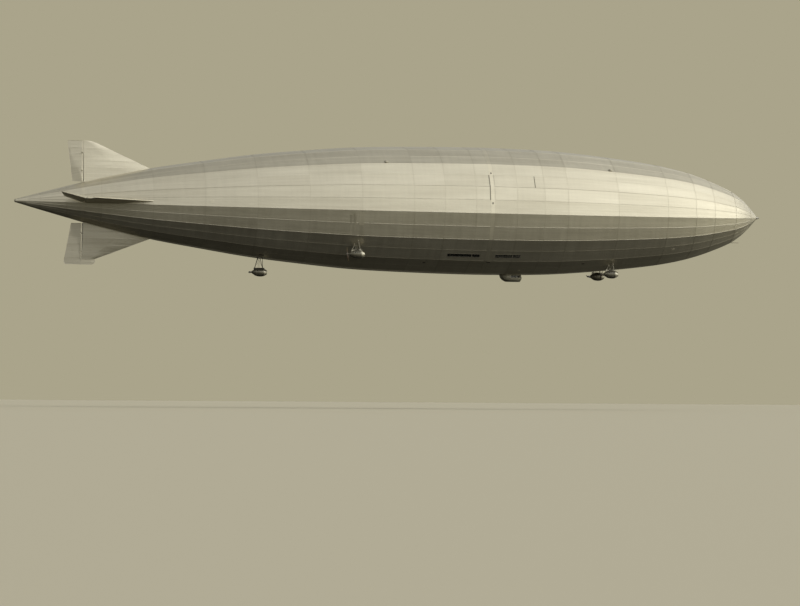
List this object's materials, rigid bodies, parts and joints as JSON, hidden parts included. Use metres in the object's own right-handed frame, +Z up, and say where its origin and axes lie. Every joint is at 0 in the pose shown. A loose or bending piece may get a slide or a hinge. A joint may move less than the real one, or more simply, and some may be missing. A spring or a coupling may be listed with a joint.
{
  "type": "large rigid passenger airship, 1:10 scale model",
  "caption": "Rigid passenger airship as a 1:10 model: faceted fabric-covered hull, cruciform tail with rudders and elevators, strut-hung power cars, control car and bow gangway.",
  "frame": {"origin": "on the hull's long axis at mid-length, where the lifting gas holds the airship up in the air", "axes": "+X forward along the hull's axis to the nose, +Y to port, +Z up"},
  "size_m": [23.68, 3.998, 4.198],
  "materials": {
    "hull_cover": "satin",
    "fin_cover": "satin",
    "car_metal": "satin",
    "strut_metal": "satin",
    "engine_iron": "matte",
    "propeller_wood": "satin",
    "window_glass": "gloss",
    "cone_steel": "satin"
  },
  "bodies": {
    "root": {"tail_cone": "hull_cover", "hull_stern": "hull_cover", "hull_aft": "hull_cover", "hull_midship": "hull_cover", "hull_passenger": "hull_cover", "hull_forward": "hull_cover", "hull_bow": "hull_cover", "hull_nose": "hull_cover", "nose_cap": "hull_cover", "mooring_cone": "cone_steel", "window_starboard_aft": "window_glass", "window_port_aft": "window_glass", "window_starboard_fore": "window_glass", "window_port_fore": "window_glass", "fin_upper": "fin_cover", "fin_lower": "fin_cover", "fin_port": "fin_cover", "fin_starboard": "fin_cover", "car_aft": "car_metal", "car_mid_port": "car_metal", "car_mid_starboard": "car_metal", "car_fore_port": "car_metal", "car_fore_starboard": "car_metal", "engine_aft": "engine_iron", "engine_mid_port": "engine_iron", "engine_mid_starboard": "engine_iron", "engine_fore_port": "engine_iron", "engine_fore_starboard": "engine_iron", "struts_aft": "strut_metal", "struts_mid_port": "strut_metal", "struts_mid_starboard": "strut_metal", "struts_fore_port": "strut_metal", "struts_fore_starboard": "strut_metal", "control_car": "car_metal", "control_car_glass": "window_glass"},
    "rudder_upper": {"rudder_upper": "fin_cover"},
    "rudder_lower": {"rudder_lower": "fin_cover"},
    "elevator_port": {"elevator_port": "fin_cover"},
    "elevator_starboard": {"elevator_starboard": "fin_cover"},
    "propeller_aft": {"propeller_aft": "propeller_wood"},
    "propeller_mid_port": {"propeller_mid_port": "propeller_wood"},
    "propeller_mid_starboard": {"propeller_mid_starboard": "propeller_wood"},
    "propeller_fore_port": {"propeller_fore_port": "propeller_wood"},
    "propeller_fore_starboard": {"propeller_fore_starboard": "propeller_wood"},
    "bow_gangway_door": {"bow_gangway_door": "car_metal"}
  },
  "joints": [
    {"name": "rudder_upper_hinge", "type": "hinge", "parent": "root", "child": "rudder_upper", "pos_m": [-9.84, 0, 1.25], "axis": [0, 0, 1], "range_deg": [-25, 25]},
    {"name": "rudder_lower_hinge", "type": "hinge", "parent": "root", "child": "rudder_lower", "pos_m": [-9.84, 0, -1.25], "axis": [0, 0, 1], "range_deg": [-25, 25]},
    {"name": "elevator_port_hinge", "type": "hinge", "parent": "root", "child": "elevator_port", "pos_m": [-9.84, 1.25, 0], "axis": [0, 1, 0], "range_deg": [-37, 13]},
    {"name": "elevator_starboard_hinge", "type": "hinge", "parent": "root", "child": "elevator_starboard", "pos_m": [-9.84, -1.25, 0], "axis": [0, 1, 0], "range_deg": [-37, 13]},
    {"name": "propeller_aft_spin", "type": "hinge", "parent": "root", "child": "propeller_aft", "pos_m": [-4.664, 0, -2.032], "axis": [1, 0, 0], "continuous": true},
    {"name": "propeller_mid_port_spin", "type": "hinge", "parent": "root", "child": "propeller_mid_port", "pos_m": [-1.914, 1.59, -1.517], "axis": [1, 0, 0], "continuous": true},
    {"name": "propeller_mid_starboard_spin", "type": "hinge", "parent": "root", "child": "propeller_mid_starboard", "pos_m": [-1.914, -1.59, -1.517], "axis": [1, 0, 0], "continuous": true},
    {"name": "propeller_fore_port_spin", "type": "hinge", "parent": "root", "child": "propeller_fore_port", "pos_m": [6.366, 0.75, -1.94], "axis": [1, 0, 0], "continuous": true},
    {"name": "propeller_fore_starboard_spin", "type": "hinge", "parent": "root", "child": "propeller_fore_starboard", "pos_m": [6.366, -0.75, -1.94], "axis": [1, 0, 0], "continuous": true},
    {"name": "bow_gangway_hinge", "type": "hinge", "parent": "root", "child": "bow_gangway_door", "pos_m": [10.856, 0, -0.8137], "axis": [0, 1, 0], "range_deg": [-34, 0]}
  ],
  "couplings": [
    {"joint": "rudder_lower_hinge", "follows": "rudder_upper_hinge", "ratio": 1},
    {"joint": "elevator_port_hinge", "follows": "elevator_starboard_hinge", "ratio": 1}
  ]
}
